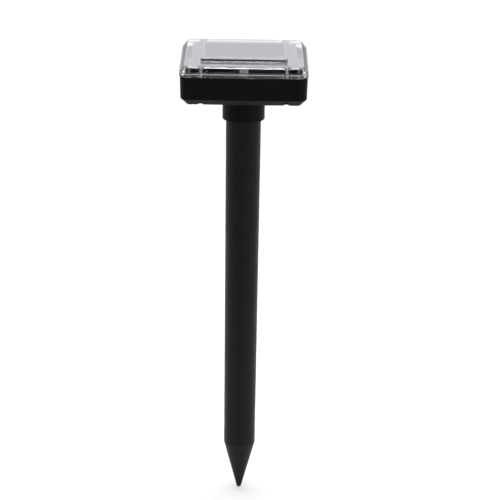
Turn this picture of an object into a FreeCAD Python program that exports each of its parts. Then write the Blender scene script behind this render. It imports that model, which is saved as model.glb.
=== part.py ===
import FreeCAD, Part
import math
import os
import re
import Sketcher
from FreeCAD import Placement, Rotation, Vector

# Solar stake repeller: a head that pulls off a tapering ground stake.
# Millimetres, +Z up, the origin at the point of the stake's tip on the stake's axis, -Y is the front.

os.makedirs("parts", exist_ok=True)
doc = FreeCAD.newDocument("StakeRepeller")

# Driving dimensions, one plain number each.
SIZES = {
    # stake
    "tip_length": 48.5,
    "tip_round": 2.4,
    "spigot_length": 18.0,
    "tube_foot_radius": 14.8,
    "tube_neck_radius": 16.05,
    "tube_visible": 322.1,
    "tube_wall": 2.6,
    "tube_insert": 23.8,
    "ring_section": 0.8,
    "ring_height": 14.0,
    # collar and socket
    "collar_wall": 3.17,
    "collar_length": 25.5,
    "collar_edge": 0.5,
    "seat_gap": 0.1,
    # housing
    "housing_wall": 3.2,
    "wall_draft": 0.55,
    "housing_wall_height": 20.2,
    "chamfer_height": 5.6,
    "chamfer_inset": 6.0,
    "cavity_chamfer": 4.1,
    "floor_thickness": 2.6,
    "rebate_width": 1.6,
    "rebate_depth": 1.5,
    "housing_edge": 0.6,
    # clear cover
    "cover_side": 115.0,
    "cover_overhang": 0.8,
    "cover_corner": 10.0,
    "seam_gap": 0.3,
    "rim_height": 3.7,
    "slope_rise": 5.45,
    "slope_inset": 4.8,
    "cover_skin": 2.5,
    "inner_inset": 0.5,
    "plateau_side_border": 13.75,
    "plateau_front_border": 19.7,
    "plateau_rise": 2.8,
    "plateau_skin": 0.9,
    "plateau_wall": 1.5,
    "plateau_corner": 3.0,
    "cover_edge": 0.4,
    "rim_ledge": 0.8,
    "plateau_edge": 0.35,
    # cover screws
    "screw_x": 38.0,
    "screw_inset": 5.4,
    "boss_radius": 5.6,
    "counterbore_radius": 3.55,
    "counterbore_depth": 14.0,
    "screw_head_radius": 3.0,
    "screw_head_height": 2.4,
    "screw_shank_radius": 1.5,
    "screw_length": 18.0,
    "screw_recess_radius": 1.3,
    "screw_recess_depth": 1.3,
    "screw_hole_clearance": 0.2,
    "pilot_end_gap": 0.6,
    "post_radius": 3.2,
    # panel and its tray
    "tray_side_gap": 6.0,
    "tray_post_gap": 1.4,
    "tray_corner": 4.0,
    "tray_thickness": 2.0,
    "tray_gap": 0.15,
    "skirt_wall": 1.5,
    "skirt_gap": 0.4,
    "skirt_height": 10.6,
    "brim_thickness": 1.2,
    "brim_gap": 0.4,
    "platform_gap": 0.3,
    "resin_gap": 0.1,
    "lead_start_y": 6.0,
    "cell_count": 8,
    "leg_inset": 9.5,
    "leg_y": 22.0,
    "leg_radius": 2.5,
    "panel_width": 71.0,
    "panel_depth": 49.5,
    "panel_y": 2.0,
    "panel_corner": 1.0,
    "backing_thickness": 1.2,
    "resin_thickness": 0.6,
    "cell_width": 7.4,
    "cell_pitch": 8.4,
    "cell_depth": 44.0,
    "cell_thickness": 0.2,
    "cell_margin": 0.5,
    "lead_window": 4.0,
    # sound capsule
    "capsule_radius": 13.6,
    "capsule_height": 8.0,
    "capsule_wall": 1.2,
    "capsule_seat_wall": 3.7,
    "magnet_radius": 6.5,
    "magnet_height": 4.2,
    "diaphragm_thickness": 0.5,
    "diaphragm_lift": 0.9,
    "clamp_lap": 4.6,
    "sound_lip": 1.6,
    "clamp_thickness": 1.4,
    "clamp_angle": 30.0,
    # circuit board
    "board_width": 62.0,
    "board_depth": 24.0,
    "board_thickness": 1.6,
    "board_y": 34.0,
    "board_corner": 1.0,
    "board_hole": 1.3,
    "standoff_height": 5.0,
    "standoff_radius": 3.0,
    "standoff_inset": 3.0,
    "small_screw_shank": 1.0,
    "small_screw_head": 2.2,
    "small_screw_head_height": 1.4,
    "small_screw_length": 5.5,
    "small_recess_radius": 0.88,
    "socket_width": 6.0,
    "socket_depth": 4.6,
    "socket_height": 6.0,
    "guide_width": 7.6,
    "guide_thickness": 3.0,
    "guide_foot": 3.8,
    "guide_wall_gap": 0.9,
    "guide_roof": 2.0,
    "guide_bend_rise": 4.0,
    "guide_top_gap": 0.3,
    "light_radius": 1.5,
    "light_height": 4.2,
    "light_inset": 2.5,
    "light_clearance": 0.15,
    "socket_inset": 2.7,
    "socket_edge": 7.0,
    "socket_spaces": 4,
    "chip_width": 10.0,
    "chip_depth": 6.0,
    "chip_height": 1.7,
    "chip_offset": 3.0,
    "transistor_width": 5.0,
    "transistor_depth": 4.0,
    "transistor_height": 7.0,
    "coil_radius": 4.2,
    "coil_height": 5.0,
    "coil_offset": 4.0,
    "large_capacitor_radius": 4.0,
    "large_capacitor_height": 12.0,
    "large_capacitor_offset": 1.0,
    "small_capacitor_radius": 2.5,
    "small_capacitor_height": 7.0,
    # cells and their holder
    "battery_radius": 7.1,
    "battery_length": 48.5,
    "battery_gap": 0.4,
    "holder_gap": 0.25,
    "battery_nub_radius": 2.6,
    "battery_nub_length": 1.3,
    "holder_wall": 1.2,
    "holder_height": 11.0,
    "contact_room": 2.4,
    "contact_thickness": 0.5,
    "contact_width": 9.0,
    # push button and switch
    "button_x": 36.0,
    "button_radius": 5.3,
    "button_stand": 2.7,
    "button_travel": 1.2,
    "button_flange_lap": 0.9,
    "button_flange_thickness": 0.8,
    "button_stop_gap": 0.1,
    "button_room": 0.6,
    "bezel_wall": 1.5,
    "bezel_flange": 2.1,
    "bezel_flange_height": 1.2,
    "nut_height": 2.2,
    "nut_wall": 1.5,
    "sleeve_proud": 0.3,
    "switch_radius": 10.5,
    "switch_height": 12.4,
    "switch_wall": 1.7,
    "stem_radius": 2.0,
    "stem_length": 4.0,
    "stem_room": 0.5,
    "terminal_width": 1.0,
    "terminal_thickness": 2.4,
    "terminal_height": 3.5,
    "terminal_pitch": 3.0,
    # leads and fits
    "lead_radius": 0.75,
    "lead_spacing": 2.6,
    "panel_lead_rise": 9.0,
    "sound_lead_rise": 5.0,
    "switch_lead_rise": 6.0,
    "battery_lead_rise": 7.0,
    "battery_lead_stagger": 1.5,
    "battery_lead_inset": 3.0,
    "running_clearance": 0.08,
    "fit_clearance": 0.05,
}

# Places and fits worked out from the driving dimensions.
PLACES = {
    "tube_foot_bore": "Sizes.tube_foot_radius - Sizes.tube_wall",
    "tube_neck_bore": "Sizes.tube_neck_radius - Sizes.tube_wall",
    "spigot_radius": "tube_foot_bore - Sizes.fit_clearance",
    "spigot_top": "Sizes.tip_length + Sizes.spigot_length",
    "mouth_z": "Sizes.tip_length + Sizes.tube_visible",
    "tube_top": "mouth_z + Sizes.tube_insert",
    "socket_radius": "Sizes.tube_neck_radius + Sizes.running_clearance",
    "socket_top": "tube_top + Sizes.seat_gap",
    "ring_centre_radius": "socket_radius - Sizes.fit_clearance - Sizes.ring_section",
    "groove_radius": "ring_centre_radius - Sizes.ring_section - Sizes.fit_clearance",
    "groove_z": "mouth_z + Sizes.ring_height",
    "groove_low": "groove_z - Sizes.ring_section - Sizes.fit_clearance",
    "groove_high": "groove_z + Sizes.ring_section + Sizes.fit_clearance",
    "housing_z": "mouth_z + Sizes.collar_length",
    "floor_z": "housing_z + Sizes.floor_thickness",
    "wall_z": "housing_z + Sizes.chamfer_height",
    "cavity_wall_z": "floor_z + Sizes.cavity_chamfer",
    "parting_z": "wall_z + Sizes.housing_wall_height",
    "housing_top_side": "Sizes.cover_side - 2 * Sizes.cover_overhang",
    "housing_low_side": "housing_top_side - 2 * Sizes.wall_draft",
    "cavity_side": "housing_top_side - 2 * Sizes.housing_wall",
    "rebate_side": "cavity_side + 2 * Sizes.rebate_width",
    "bottom_side": "housing_low_side - 2 * Sizes.chamfer_inset",
    "cavity_floor_side": "cavity_side - 2 * Sizes.cavity_chamfer",
    "collar_radius": "socket_radius + Sizes.collar_wall",
    "collar_side": "2 * collar_radius",
    "rebate_z": "parting_z - Sizes.rebate_depth",
    "cover_z": "parting_z + Sizes.seam_gap",
    "rim_z": "cover_z + Sizes.rim_height",
    "top_z": "rim_z + Sizes.slope_rise",
    "plateau_z": "top_z + Sizes.plateau_rise",
    "top_side": "Sizes.cover_side - 2 * Sizes.slope_inset",
    "slope_foot_side": "Sizes.cover_side - 2 * Sizes.rim_ledge",
    "slope_foot_corner": "Sizes.cover_corner - Sizes.rim_ledge",
    "plateau_width": "top_side - 2 * Sizes.plateau_side_border",
    "plateau_depth": "top_side - 2 * Sizes.plateau_front_border",
    "top_inner_z": "top_z - Sizes.cover_skin",
    "top_inner_side": "top_side - 2 * Sizes.inner_inset",
    "plateau_inner_z": "plateau_z - Sizes.plateau_skin",
    "plateau_inner_width": "plateau_width - 2 * Sizes.plateau_wall",
    "plateau_inner_depth": "plateau_depth - 2 * Sizes.plateau_wall",
    "gasket_outer_side": "rebate_side - 2 * Sizes.fit_clearance",
    "gasket_inner_side": "cavity_side + 2 * Sizes.fit_clearance",
    "housing_corner": "Sizes.cover_corner - (Sizes.cover_side - housing_top_side) / 2",
    "low_corner": "Sizes.cover_corner - (Sizes.cover_side - housing_low_side) / 2",
    "bottom_corner": "low_corner - Sizes.chamfer_inset",
    "cavity_corner": "Sizes.cover_corner - (Sizes.cover_side - cavity_side) / 2",
    "cavity_floor_corner": "cavity_corner - (cavity_side - cavity_floor_side) / 2",
    "rebate_corner": "Sizes.cover_corner - (Sizes.cover_side - rebate_side) / 2",
    "gasket_outer_corner": "rebate_corner - Sizes.fit_clearance",
    "gasket_inner_corner": "cavity_corner + Sizes.fit_clearance",
    "top_corner": "Sizes.cover_corner - Sizes.slope_inset",
    "top_inner_corner": "top_corner - Sizes.inner_inset",
    "plateau_inner_corner": "Sizes.plateau_corner - Sizes.plateau_wall",
    "screw_y": "cavity_side / 2 - Sizes.screw_inset",
    "counterbore_z": "housing_z + Sizes.counterbore_depth",
    "screw_hole_radius": "Sizes.screw_shank_radius + Sizes.screw_hole_clearance",
    "post_pilot_radius": "Sizes.screw_shank_radius + Sizes.fit_clearance",
    "screw_head_z": "counterbore_z - Sizes.screw_head_height",
    "screw_recess_z": "screw_head_z + Sizes.screw_recess_depth",
    "screw_top": "counterbore_z + Sizes.screw_length",
    "pilot_top": "screw_top + Sizes.pilot_end_gap",
    "tray_width": "cavity_side - 2 * Sizes.tray_side_gap",
    "tray_depth": "2 * (screw_y - Sizes.post_radius - Sizes.tray_post_gap)",
    "leg_x": "cavity_side / 2 - Sizes.leg_inset",
    "tray_top": "top_inner_z - Sizes.tray_gap",
    "tray_z": "tray_top - Sizes.tray_thickness",
    "skirt_z": "tray_z - Sizes.skirt_height",
    "skirt_depth": "2 * (screw_y - Sizes.boss_radius - Sizes.skirt_gap)",
    "skirt_inner_width": "tray_width - 2 * Sizes.skirt_wall",
    "skirt_inner_depth": "skirt_depth - 2 * Sizes.skirt_wall",
    "skirt_inner_corner": "Sizes.tray_corner - Sizes.skirt_wall",
    "brim_side": "cavity_side - 2 * Sizes.brim_gap",
    "brim_corner": "cavity_corner - Sizes.brim_gap",
    "brim_hole": "Sizes.boss_radius + Sizes.brim_gap",
    "notch_x": "Sizes.guide_width / 2 + Sizes.brim_gap",
    "notch_front": "cavity_side / 2",
    "notch_back": "guide_back - Sizes.guide_thickness - Sizes.brim_gap",
    "platform_z": "plateau_inner_z - Sizes.platform_gap",
    "platform_width": "plateau_inner_width - 2 * Sizes.tray_gap",
    "platform_depth": "plateau_inner_depth - 2 * Sizes.tray_gap",
    "resin_z": "plateau_inner_z - Sizes.resin_gap - Sizes.resin_thickness",
    "backing_z": "resin_z - Sizes.backing_thickness",
    "cells_width": "Sizes.cell_pitch * Sizes.cell_count",
    "cells_depth": "Sizes.cell_depth + 2 * Sizes.cell_margin",
    "pocket_width": "Sizes.panel_width + 2 * Sizes.fit_clearance",
    "pocket_depth": "Sizes.panel_depth + 2 * Sizes.fit_clearance",
    "pocket_corner": "Sizes.panel_corner + Sizes.fit_clearance",
    "cells_z": "resin_z - Sizes.cell_thickness",
    "seat_bore": "Sizes.capsule_radius + Sizes.fit_clearance",
    "seat_radius": "seat_bore + Sizes.capsule_seat_wall",
    "neck_hole_radius": "seat_radius + Sizes.fit_clearance",
    "seat_top": "floor_z + Sizes.capsule_height",
    "capsule_bore": "Sizes.capsule_radius - Sizes.capsule_wall",
    "capsule_roof": "seat_top - Sizes.capsule_wall",
    "magnet_z": "capsule_roof - Sizes.magnet_height",
    "diaphragm_radius": "capsule_bore - Sizes.fit_clearance",
    "sound_hole_radius": "Sizes.capsule_radius - Sizes.sound_lip",
    "clamp_bore": "Sizes.capsule_radius - Sizes.clamp_lap",
    "clamp_screw_circle": "seat_bore + Sizes.capsule_seat_wall / 2",
    "clamp_x": "clamp_screw_circle * cos(Sizes.clamp_angle)",
    "clamp_y": "clamp_screw_circle * sin(Sizes.clamp_angle)",
    "clamp_top": "seat_top + Sizes.clamp_thickness",
    "diaphragm_z": "floor_z + Sizes.diaphragm_lift",
    "diaphragm_top": "diaphragm_z + Sizes.diaphragm_thickness",
    "board_z": "floor_z + Sizes.standoff_height",
    "board_top": "board_z + Sizes.board_thickness",
    "small_pilot": "Sizes.small_screw_shank + Sizes.fit_clearance",
    "small_screw_recess": "Sizes.small_screw_head_height / 2",
    "standoff_x": "Sizes.board_width / 2 - Sizes.standoff_inset",
    "standoff_y": "Sizes.board_depth / 2 - Sizes.standoff_inset",
    "light_y": "Sizes.board_y + Sizes.board_depth / 2 - Sizes.light_inset",
    "socket_y": "Sizes.board_y - Sizes.board_depth / 2 + Sizes.socket_inset",
    "socket_pitch": "(Sizes.board_width - 2 * Sizes.socket_edge) / Sizes.socket_spaces",
    "standoff_front_y": "Sizes.board_y + standoff_y",
    "standoff_rear_y": "Sizes.board_y - standoff_y",
    "guide_front": "cavity_side / 2 - Sizes.guide_wall_gap",
    "guide_back": "guide_front - Sizes.guide_thickness",
    "guide_foot_front": "light_y + Sizes.guide_foot / 2",
    "guide_foot_back": "light_y - Sizes.guide_foot / 2",
    "light_pocket": "Sizes.light_radius + Sizes.light_clearance",
    "guide_foot_top": "board_top + Sizes.light_height + Sizes.guide_roof",
    "guide_bend_front": "guide_foot_top + Sizes.guide_bend_rise",
    "guide_bend_back": "guide_bend_front + Sizes.guide_thickness",
    "guide_top_back": "top_inner_z - Sizes.guide_top_gap",
    "guide_top_front": "guide_top_back - Sizes.guide_thickness",
    "holder_length": "Sizes.battery_length + Sizes.battery_nub_length + 2 * Sizes.contact_room"
                     " + 2 * Sizes.holder_wall",
    "holder_inner_length": "holder_length - 2 * Sizes.holder_wall",
    "battery_pitch": "2 * Sizes.battery_radius + Sizes.battery_gap",
    "battery_y": "seat_radius + Sizes.holder_gap + holder_width / 2",
    "holder_width": "2 * battery_pitch + 2 * Sizes.holder_wall",
    "holder_inner_width": "holder_width - 2 * Sizes.holder_wall",
    "battery_half": "Sizes.battery_length / 2",
    "battery_nub_top": "battery_half + Sizes.battery_nub_length",
    "contact_x": "holder_inner_length / 2 - Sizes.contact_thickness / 2",
    "contact_top": "battery_z + Sizes.battery_radius",
    "battery_z": "floor_z + Sizes.holder_wall + Sizes.battery_radius + Sizes.fit_clearance",
    "bezel_bore": "Sizes.button_radius + Sizes.running_clearance",
    "bezel_sleeve": "bezel_bore + Sizes.bezel_wall",
    "bezel_hole": "bezel_sleeve + Sizes.fit_clearance",
    "bezel_rim": "bezel_sleeve + Sizes.bezel_flange",
    "bezel_z": "housing_z - Sizes.bezel_flange_height",
    "nut_top": "floor_z + Sizes.nut_height",
    "sleeve_top": "nut_top + Sizes.sleeve_proud",
    "nut_radius": "bezel_sleeve + Sizes.nut_wall",
    "button_z": "housing_z - Sizes.button_stand",
    "button_flange_z": "sleeve_top + Sizes.button_stop_gap",
    "button_flange_top": "button_flange_z + Sizes.button_flange_thickness",
    "button_flange_radius": "bezel_bore + Sizes.button_flange_lap",
    "switch_cavity": "Sizes.switch_radius - Sizes.switch_wall",
    "switch_cavity_top": "button_flange_top + Sizes.button_travel + Sizes.button_room",
    "switch_top": "floor_z + Sizes.switch_height",
    "stem_top": "button_flange_top + Sizes.stem_length",
    "stem_bore": "Sizes.stem_radius + Sizes.running_clearance",
    "stem_bore_top": "stem_top + Sizes.button_travel + Sizes.stem_room",
}


def make_sheet(name, cells):
    """A sheet with one aliased cell for each entry."""
    sheet = doc.addObject("Spreadsheet::Sheet", name)
    for row, (alias, content) in enumerate(cells.items(), start=1):
        sheet.set("A%d" % row, alias)
        sheet.set("B%d" % row, str(content))
        sheet.setAlias("B%d" % row, alias)
    return sheet


# How much nearer the axis a square's rounded corner is, for a corner radius of 1.
CORNER_DIP = 1 - math.sqrt(0.5)
# How closely an edge must match the level and the side that it is picked by.
LEVEL_MATCH = 0.001
SIDE_MATCH = 0.1
# The share of a lead's shorter run that its bend takes up.
BEND_SHARE = 0.45
# How far across the board each part stands, in socket pitches.
BOARD_STEPS = {
    "controller_chip": -0.8,
    "power_transistor": -1.7,
    "boost_coil": 0.8,
    "large_capacitor": 1.8,
    "small_capacitor": 0.1,
    "indicator_light": 0.0,
    "switch_socket": -1.5,
    "sound_socket": 0.0,
    "panel_socket": 1.0,
    "battery_socket": 1.7,
}

sizes = make_sheet("Sizes", SIZES)
places = make_sheet("Places", {alias: "=" + formula for alias, formula in PLACES.items()})
doc.recompute()

parts = {}


def ref(alias):
    """The alias as an expression reads it."""
    return ("Sizes." if alias in SIZES else "Places.") + alias


def formula(text):
    """A formula of aliases as an expression reads it."""
    return re.sub(r"[a-z_]+[a-z0-9_]*", lambda word: ref(word.group()), text)


def num(alias):
    """The alias's present value."""
    return float(getattr(sizes if alias in SIZES else places, alias))


def bind(item, prop, text):
    item.setExpression(prop, formula(text))


def keep(name, item):
    """Names a finished sub-part, which is also the name of its file."""
    item.Label = name
    parts[name] = item
    return item


def new_body(name):
    return doc.addObject("PartDesign::Body", name + "_body")


def new_sketch(body, name, role, height=None):
    """A sketch on one of the body's own origin planes, raised to a bound height."""
    sketch = body.newObject("Sketcher::SketchObject", name)
    plane = next(feature for feature in body.Origin.OriginFeatures if feature.Role == role)
    sketch.AttachmentSupport = [(plane, "")]
    sketch.MapMode = "FlatFace"
    if height:
        bind(sketch, ".AttachmentOffset.Base.z", height)
    return sketch


def dimension(sketch, kind, alias, *where):
    """A dimension of the sketch, bound to the alias, which a leading minus turns round."""
    sign, name = (-1, alias[1:]) if alias.startswith("-") else (1, alias)
    index = sketch.addConstraint(Sketcher.Constraint(kind, *where, sign * num(name)))
    sketch.setExpression("Constraints[%d]" % index, formula(alias))


def along(alias):
    """The value of an alias that may have a leading minus, or 0 on an axis."""
    if not alias:
        return 0.0
    return -num(alias[1:]) if alias.startswith("-") else num(alias)


def place_point(sketch, across, up, geometry, point):
    """Dimensions a point from the origin, where None keeps it on that axis."""
    if across:
        dimension(sketch, "DistanceX", across, -1, 1, geometry, point)
    else:
        sketch.addConstraint(Sketcher.Constraint("PointOnObject", geometry, point, -2))
    if up:
        dimension(sketch, "DistanceY", up, -1, 1, geometry, point)
    else:
        sketch.addConstraint(Sketcher.Constraint("PointOnObject", geometry, point, -1))


def outline(body, name, corners, role="XZ_Plane", height=None):
    """A closed outline through (across, up) pairs of aliases, where None lies on the axis."""
    sketch = new_sketch(body, name, role, height)
    points = [Vector(along(across), along(up), 0) for across, up in corners]
    for index, point in enumerate(points):
        sketch.addGeometry(Part.LineSegment(point, points[(index + 1) % len(points)]))
    for index, (across, up) in enumerate(corners):
        before = (index - 1) % len(points)
        sketch.addConstraint(Sketcher.Constraint("Coincident", before, 2, index, 1))
        place_point(sketch, across, up, index, 1)
    sketch.Visibility = False
    return sketch


def revolve(body, sketch):
    turned = body.newObject("PartDesign::Revolution", sketch.Name + "_turn")
    turned.Profile = sketch
    turned.ReferenceAxis = (sketch, ["V_Axis"])
    turned.Angle = 360
    return turned


def turned_part(name, corners, x="", y="", z=""):
    """A sub-part revolved from one outline, its axis upright through x, y."""
    body = new_body(name)
    revolve(body, outline(body, name + "_outline", corners))
    for axis, text in zip("xyz", (x, y, z)):
        if text:
            bind(body, ".Placement.Base." + axis, text)
    return keep(name, body)


def rounded_rectangle(body, name, height, width, depth, corner):
    """A centred rectangle with rounded corners."""
    sketch = new_sketch(body, name, "XY_Plane", height)
    half_x, half_y, radius = num(width) / 2, num(depth) / 2, num(corner)
    in_x, in_y = half_x - radius, half_y - radius
    ends = [
        (Vector(-in_x, -half_y, 0), Vector(in_x, -half_y, 0)),
        (Vector(half_x, -in_y, 0), Vector(half_x, in_y, 0)),
        (Vector(in_x, half_y, 0), Vector(-in_x, half_y, 0)),
        (Vector(-half_x, in_y, 0), Vector(-half_x, -in_y, 0)),
    ]
    for start, end in ends:
        sketch.addGeometry(Part.LineSegment(start, end))
    centres = [(in_x, -in_y), (in_x, in_y), (-in_x, in_y), (-in_x, -in_y)]
    for index, (x, y) in enumerate(centres):
        circle = Part.Circle(Vector(x, y, 0), Vector(0, 0, 1), radius)
        start = (index - 1) * math.pi / 2
        sketch.addGeometry(Part.ArcOfCircle(circle, start, start + math.pi / 2))
    for index in range(4):
        sketch.addConstraint(Sketcher.Constraint("Tangent", index, 2, 4 + index, 1))
        sketch.addConstraint(Sketcher.Constraint("Tangent", 4 + index, 2, (index + 1) % 4, 1))
    sketch.addConstraint(Sketcher.Constraint("Horizontal", 2))
    sketch.addConstraint(Sketcher.Constraint("Vertical", 3))
    for index in (5, 6, 7):
        sketch.addConstraint(Sketcher.Constraint("Equal", 4, index))
    dimension(sketch, "Radius", corner, 4)
    dimension(sketch, "DistanceX", width, 3, 1, 1, 1)
    dimension(sketch, "DistanceY", depth, 0, 1, 2, 1)
    sketch.addConstraint(Sketcher.Constraint("Symmetric", 0, 1, 0, 2, -2))
    sketch.addConstraint(Sketcher.Constraint("Symmetric", 1, 1, 1, 2, -1))
    sketch.Visibility = False
    return sketch


def loft(body, lower, upper, kind="Additive"):
    step = body.newObject("PartDesign::%sLoft" % kind, lower.Name + "_loft")
    step.Profile = lower
    step.Sections = [upper]
    step.Ruled = True
    return step


def circles(body, name, height, spots, radius):
    """Circles of one bound radius, centred on (x, y) pairs of aliases."""
    sketch = new_sketch(body, name, "XY_Plane", height)
    for index, (x, y) in enumerate(spots):
        sketch.addGeometry(Part.Circle(Vector(along(x), along(y), 0), Vector(0, 0, 1), num(radius)))
        dimension(sketch, "Radius", radius, index)
        place_point(sketch, x, y, index, 3)
    sketch.Visibility = False
    return sketch


def pad(body, sketch, length):
    step = body.newObject("PartDesign::Pad", sketch.Name + "_pad")
    step.Profile = sketch
    bind(step, "Length", length)
    return step


def cut_up(body, sketch, length):
    """Cuts the sketch's area upwards, and checks that it takes something away."""
    doc.recompute()
    before = body.Shape.Volume
    step = body.newObject("PartDesign::Pocket", sketch.Name + "_cut")
    step.Profile = sketch
    bind(step, "Length", length)
    step.Reversed = True
    doc.recompute()
    if body.Shape.Volume >= before:
        raise RuntimeError(sketch.Name + " cuts nothing")
    return step


def round_loop(body, name, radius, level, width, depth):
    """Rounds the edges at a level that run round the rectangle of the given width and depth."""
    doc.recompute()
    solid = body.Tip
    half_x, half_y = num(width) / 2, num(depth) / 2
    dip = CORNER_DIP * num("cover_corner") + SIDE_MATCH
    picked = []
    for index, edge in enumerate(solid.Shape.Edges, start=1):
        box = edge.BoundBox
        flat = abs(box.ZMin - num(level)) < LEVEL_MATCH and abs(box.ZMax - num(level)) < LEVEL_MATCH
        middle = edge.valueAt((edge.FirstParameter + edge.LastParameter) / 2)
        past_x, past_y = abs(middle.x) - half_x, abs(middle.y) - half_y
        if flat and -dip < max(past_x, past_y) < SIDE_MATCH:
            picked.append("Edge%d" % index)
    step = body.newObject("PartDesign::Fillet", name)
    step.Base = (solid, picked)
    bind(step, "Radius", radius)
    return step


def place(item, x, y, z):
    for axis, text in zip("xyz", (x, y, z)):
        bind(item, ".Placement.Base." + axis, text)
    return item


def block(name, width, depth, height, x, y, z):
    """A box centred on x, y with its underside at z."""
    item = doc.addObject("Part::Box", name)
    bind(item, "Length", width)
    bind(item, "Width", depth)
    bind(item, "Height", height)
    return place(item, "%s - (%s) / 2" % (x, width), "%s - (%s) / 2" % (y, depth), z)


def rod(name, radius, height, x, y, z):
    """An upright cylinder on x, y with its underside at z."""
    item = doc.addObject("Part::Cylinder", name)
    bind(item, "Radius", radius)
    bind(item, "Height", height)
    return place(item, x, y, z)


def cut(name, base, tool):
    item = doc.addObject("Part::Cut", name)
    item.Base = base
    item.Tool = tool
    return item


def group(name, items):
    item = doc.addObject("Part::Compound", name)
    item.Links = items
    return keep(name, item)


def signed(*aliases):
    """The four (x, y) spots of a pattern that is mirrored both ways."""
    x, y = aliases
    return [(x_sign + x, y_sign + y) for x_sign in ("-", "") for y_sign in ("-", "")]


CENTRE = [(None, None)]
SCREW_SPOTS = signed("screw_x", "screw_y")
LEG_SPOTS = signed("leg_x", "leg_y")
BOARD_SPOTS = [(x_sign + "standoff_x", "-" + y)
               for x_sign in ("-", "") for y in ("standoff_front_y", "standoff_rear_y")]
CLAMP_SPOTS = [(None, "-clamp_screw_circle"), ("clamp_x", "clamp_y"), ("-clamp_x", "clamp_y")]


# ---- stake -------------------------------------------------------------------------------------

def make_tube():
    turned_part("stake_tube", [
        ("tube_foot_radius", "tip_length"),
        ("tube_neck_radius", "mouth_z"),
        ("tube_neck_radius", "groove_low"),
        ("groove_radius", "groove_low"),
        ("groove_radius", "groove_high"),
        ("tube_neck_radius", "groove_high"),
        ("tube_neck_radius", "tube_top"),
        ("tube_neck_bore", "tube_top"),
        ("tube_neck_bore", "mouth_z"),
        ("tube_foot_bore", "spigot_top"),
        ("tube_foot_bore", "tip_length"),
    ])


def make_tip():
    """The cone, with a ball nose tangent to it and a spigot that plugs the tube's foot."""
    body = new_body("stake_tip")
    sketch = new_sketch(body, "stake_tip_outline", "XZ_Plane")
    corners = [
        ("tube_foot_radius", "tip_length"),
        ("spigot_radius", "tip_length"),
        ("spigot_radius", "spigot_top"),
        (None, "spigot_top"),
    ]
    nose = Vector(num("tip_round"), num("tip_round"), 0)
    points = [nose] + [Vector(along(x), along(z), 0) for x, z in corners] + [Vector(0, 0, 0)]
    for start, end in zip(points, points[1:]):
        sketch.addGeometry(Part.LineSegment(start, end))
    ball = Part.Circle(Vector(0, num("tip_round"), 0), Vector(0, 0, 1), num("tip_round"))
    arc = sketch.addGeometry(Part.ArcOfCircle(ball, -math.pi / 2, 0))
    for index, (across, up) in enumerate(corners, start=1):
        sketch.addConstraint(Sketcher.Constraint("Coincident", index - 1, 2, index, 1))
        place_point(sketch, across, up, index, 1)
    sketch.addConstraint(Sketcher.Constraint("Coincident", len(corners), 2, -1, 1))
    sketch.addConstraint(Sketcher.Constraint("Coincident", arc, 1, -1, 1))
    sketch.addConstraint(Sketcher.Constraint("PointOnObject", arc, 3, -2))
    sketch.addConstraint(Sketcher.Constraint("Tangent", arc, 2, 0, 1))
    dimension(sketch, "Radius", "tip_round", arc)
    revolve(body, sketch)
    keep("stake_tip", body)


def make_ring():
    ring = doc.addObject("Part::Torus", "tube_ring")
    bind(ring, "Radius1", "ring_centre_radius")
    bind(ring, "Radius2", "ring_section")
    bind(ring, ".Placement.Base.z", "groove_z")
    keep("tube_ring", ring)


# ---- housing and cover ---------------------------------------------------------------------------

def square(body, name, height, side, corner):
    return rounded_rectangle(body, name, height, side, side, corner)


def make_housing():
    body = new_body("housing")
    loft(body, square(body, "chamfer_foot", "housing_z", "bottom_side", "bottom_corner"),
         square(body, "chamfer_head", "wall_z", "housing_low_side", "low_corner"))
    loft(body, square(body, "wall_foot", "wall_z", "housing_low_side", "low_corner"),
         square(body, "wall_head", "parting_z", "housing_top_side", "housing_corner"))
    round_loop(body, "bottom_edge", "housing_edge", "housing_z", "bottom_side", "bottom_side")
    round_loop(body, "wall_edge", "housing_edge", "wall_z", "housing_low_side", "housing_low_side")
    round_loop(body, "lip_edge", "housing_edge", "parting_z", "housing_top_side", "housing_top_side")
    loft(body, square(body, "cavity_floor", "floor_z", "cavity_floor_side", "cavity_floor_corner"),
         square(body, "cavity_turn", "cavity_wall_z", "cavity_side", "cavity_corner"), "Subtractive")
    cut_up(body, square(body, "cavity", "cavity_wall_z", "cavity_side", "cavity_corner"),
           "parting_z - cavity_wall_z")
    pad(body, circles(body, "bosses", "floor_z", SCREW_SPOTS, "boss_radius"), "parting_z - floor_z")
    pad(body, circles(body, "standoffs", "floor_z", BOARD_SPOTS, "standoff_radius"), "standoff_height")
    cut_up(body, circles(body, "neck_hole", "housing_z", CENTRE, "neck_hole_radius"), "floor_thickness")
    cut_up(body, circles(body, "counterbores", "housing_z", SCREW_SPOTS, "counterbore_radius"),
           "counterbore_depth")
    cut_up(body, circles(body, "screw_holes", "housing_z", SCREW_SPOTS, "screw_hole_radius"),
           "parting_z - housing_z")
    cut_up(body, circles(body, "button_hole", "housing_z", [("-button_x", None)], "bezel_hole"),
           "floor_thickness")
    cut_up(body, circles(body, "board_pilots", "floor_z", BOARD_SPOTS, "small_pilot"), "standoff_height")
    cut_up(body, square(body, "rebate", "rebate_z", "rebate_side", "rebate_corner"), "rebate_depth")
    keep("housing", body)


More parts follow.
